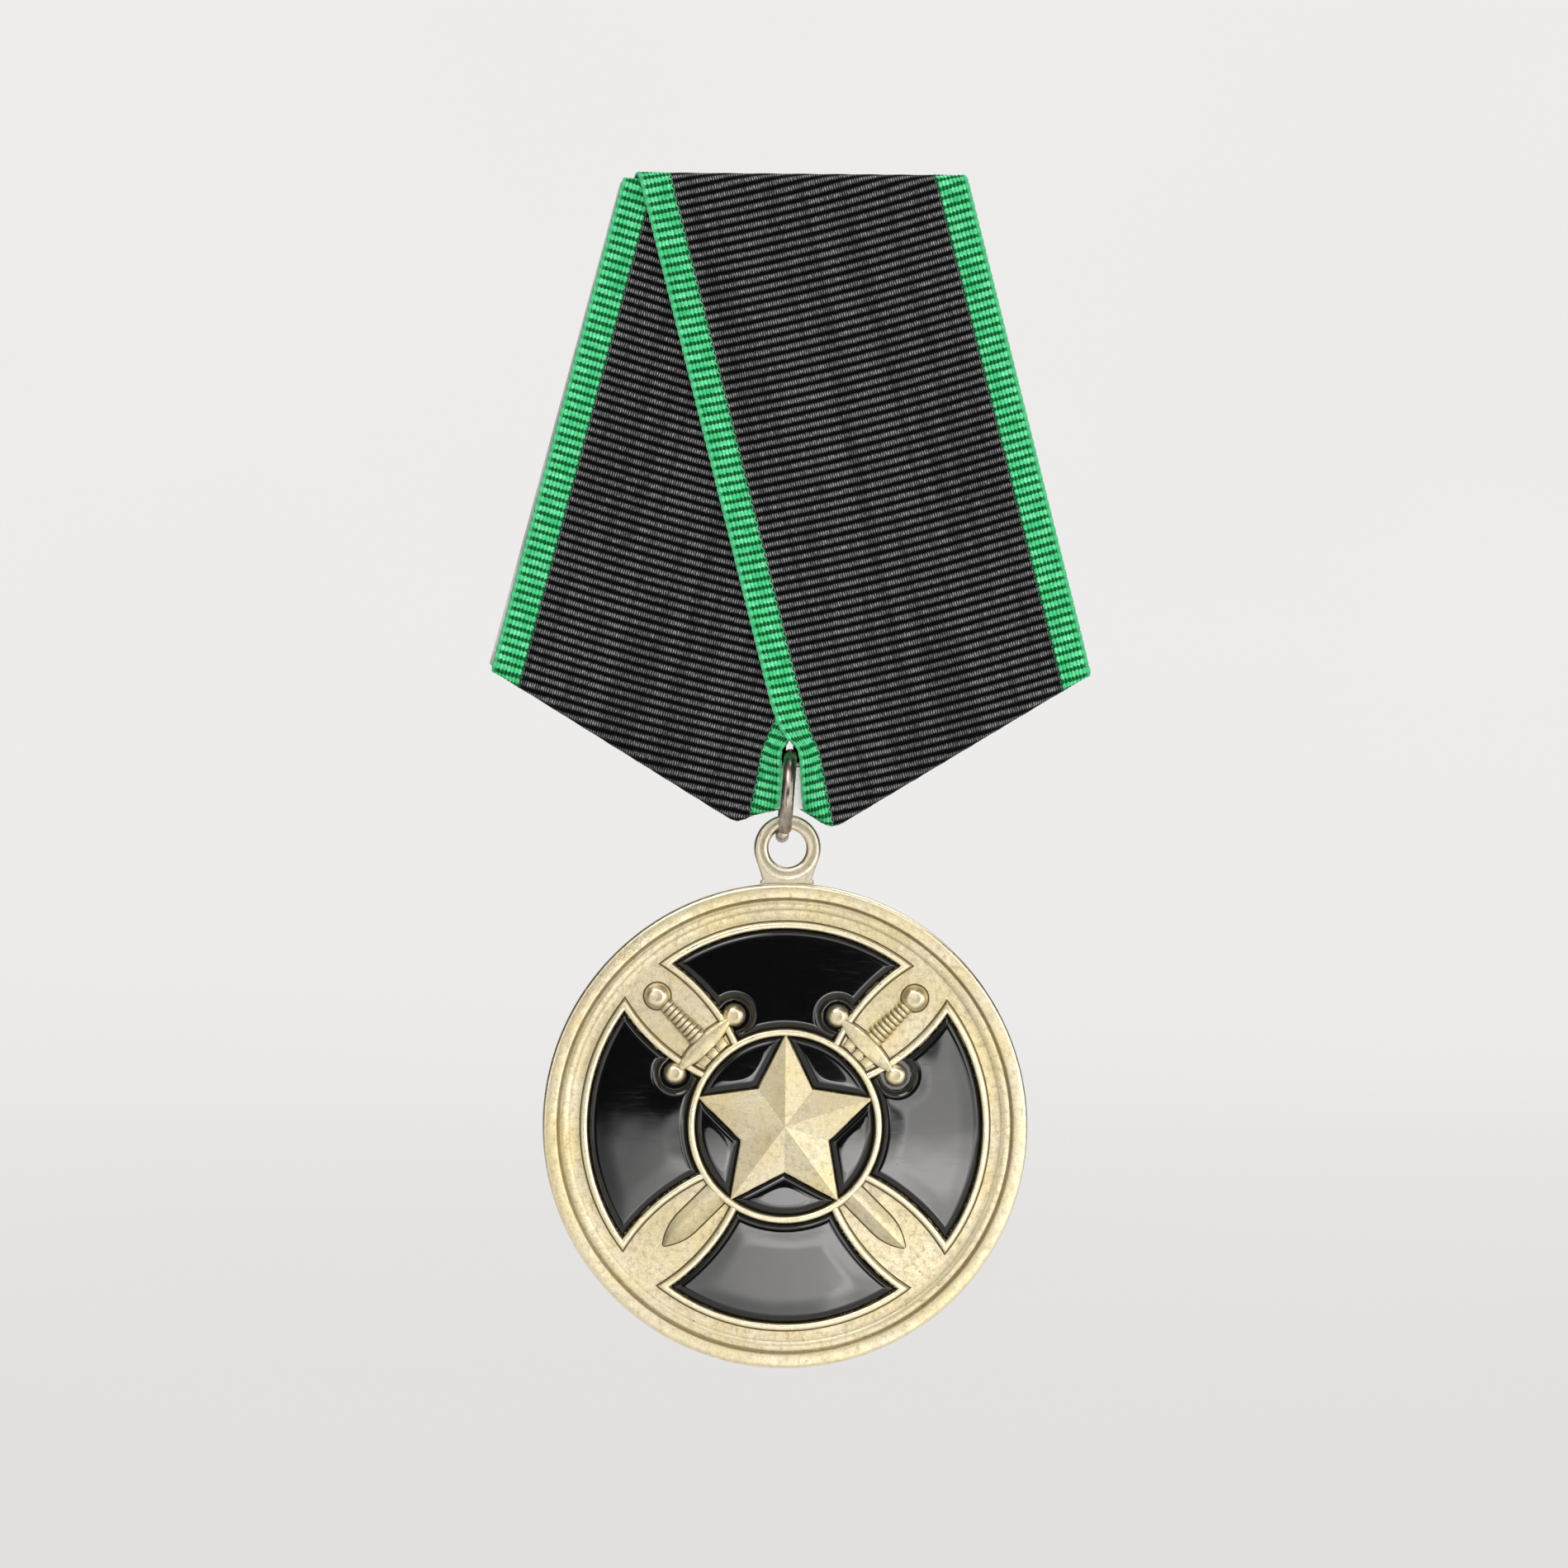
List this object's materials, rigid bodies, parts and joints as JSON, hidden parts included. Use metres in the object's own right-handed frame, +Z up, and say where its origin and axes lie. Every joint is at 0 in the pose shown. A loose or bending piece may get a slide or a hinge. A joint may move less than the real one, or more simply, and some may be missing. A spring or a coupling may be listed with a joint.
{
  "type": "military service medal",
  "caption": "Medal disc with a black enamelled cross, star and crossed swords, hung by a ring from a pentagonal ribbon block with a brooch pin.",
  "frame": {"origin": "on the brooch needle's axis, at the middle of its free length; the medal hangs below, as worn", "axes": "+X to the right of someone facing the medal, +Z up, the face towards -Y and the wearer's cloth towards +Y"},
  "size_m": [0.0465, 0.0097, 0.0913],
  "materials": {
    "plate_metal": "satin, silvery, lightly handled",
    "ribbon_cloth": "black ribbed grosgrain with green edge stripes",
    "fitting_brass": "plain rolled brass, slightly dull",
    "pin_steel": "bright drawn steel",
    "ring_nickel": "dark nickel wire",
    "medal_brass": "pale antiqued brass with a fine mottled patina",
    "black_enamel": "glossy domed black enamel"
  },
  "bodies": {
    "block": {"front_plate": "plate_metal", "ribbon_left": "ribbon_cloth", "ribbon_right": "ribbon_cloth", "back_cover": "plate_metal", "pin_bar": "fitting_brass", "hinge_rivet": "pin_steel", "catch_bracket": "fitting_brass"},
    "needle": {"pin_needle": "pin_steel"},
    "barrel": {"catch_barrel": "fitting_brass"},
    "ring": {"jump_ring": "ring_nickel"},
    "medal": {"medal_disc": "medal_brass", "suspension_eyelet": "medal_brass", "enamel_arm_top": "black_enamel", "enamel_arm_right": "black_enamel", "enamel_arm_bottom": "black_enamel", "enamel_arm_left": "black_enamel", "enamel_star_field_1": "black_enamel", "enamel_star_field_2": "black_enamel", "enamel_star_field_3": "black_enamel", "enamel_star_field_4": "black_enamel", "enamel_star_field_5": "black_enamel"}
  },
  "joints": [
    {"name": "pin_hinge", "type": "hinge", "parent": "block", "child": "needle", "pos_m": [-0.013, 0, 0], "axis": [0, 0, 1], "range_deg": [0, 95]},
    {"name": "catch_turn", "type": "hinge", "parent": "block", "child": "barrel", "pos_m": [0.013, 0, 0], "axis": [-1, 0, 0], "range_deg": [0, 150]},
    {"name": "ring_swing", "type": "hinge", "parent": "block", "child": "ring", "pos_m": [0, -0.00462, -0.03145], "axis": [1, 0, 0], "range_deg": [-32, 40]},
    {"name": "medal_swing", "type": "hinge", "parent": "ring", "child": "medal", "pos_m": [0, -0.00462, -0.0367], "axis": [0, 1, 0], "range_deg": [-40, 40]}
  ]
}
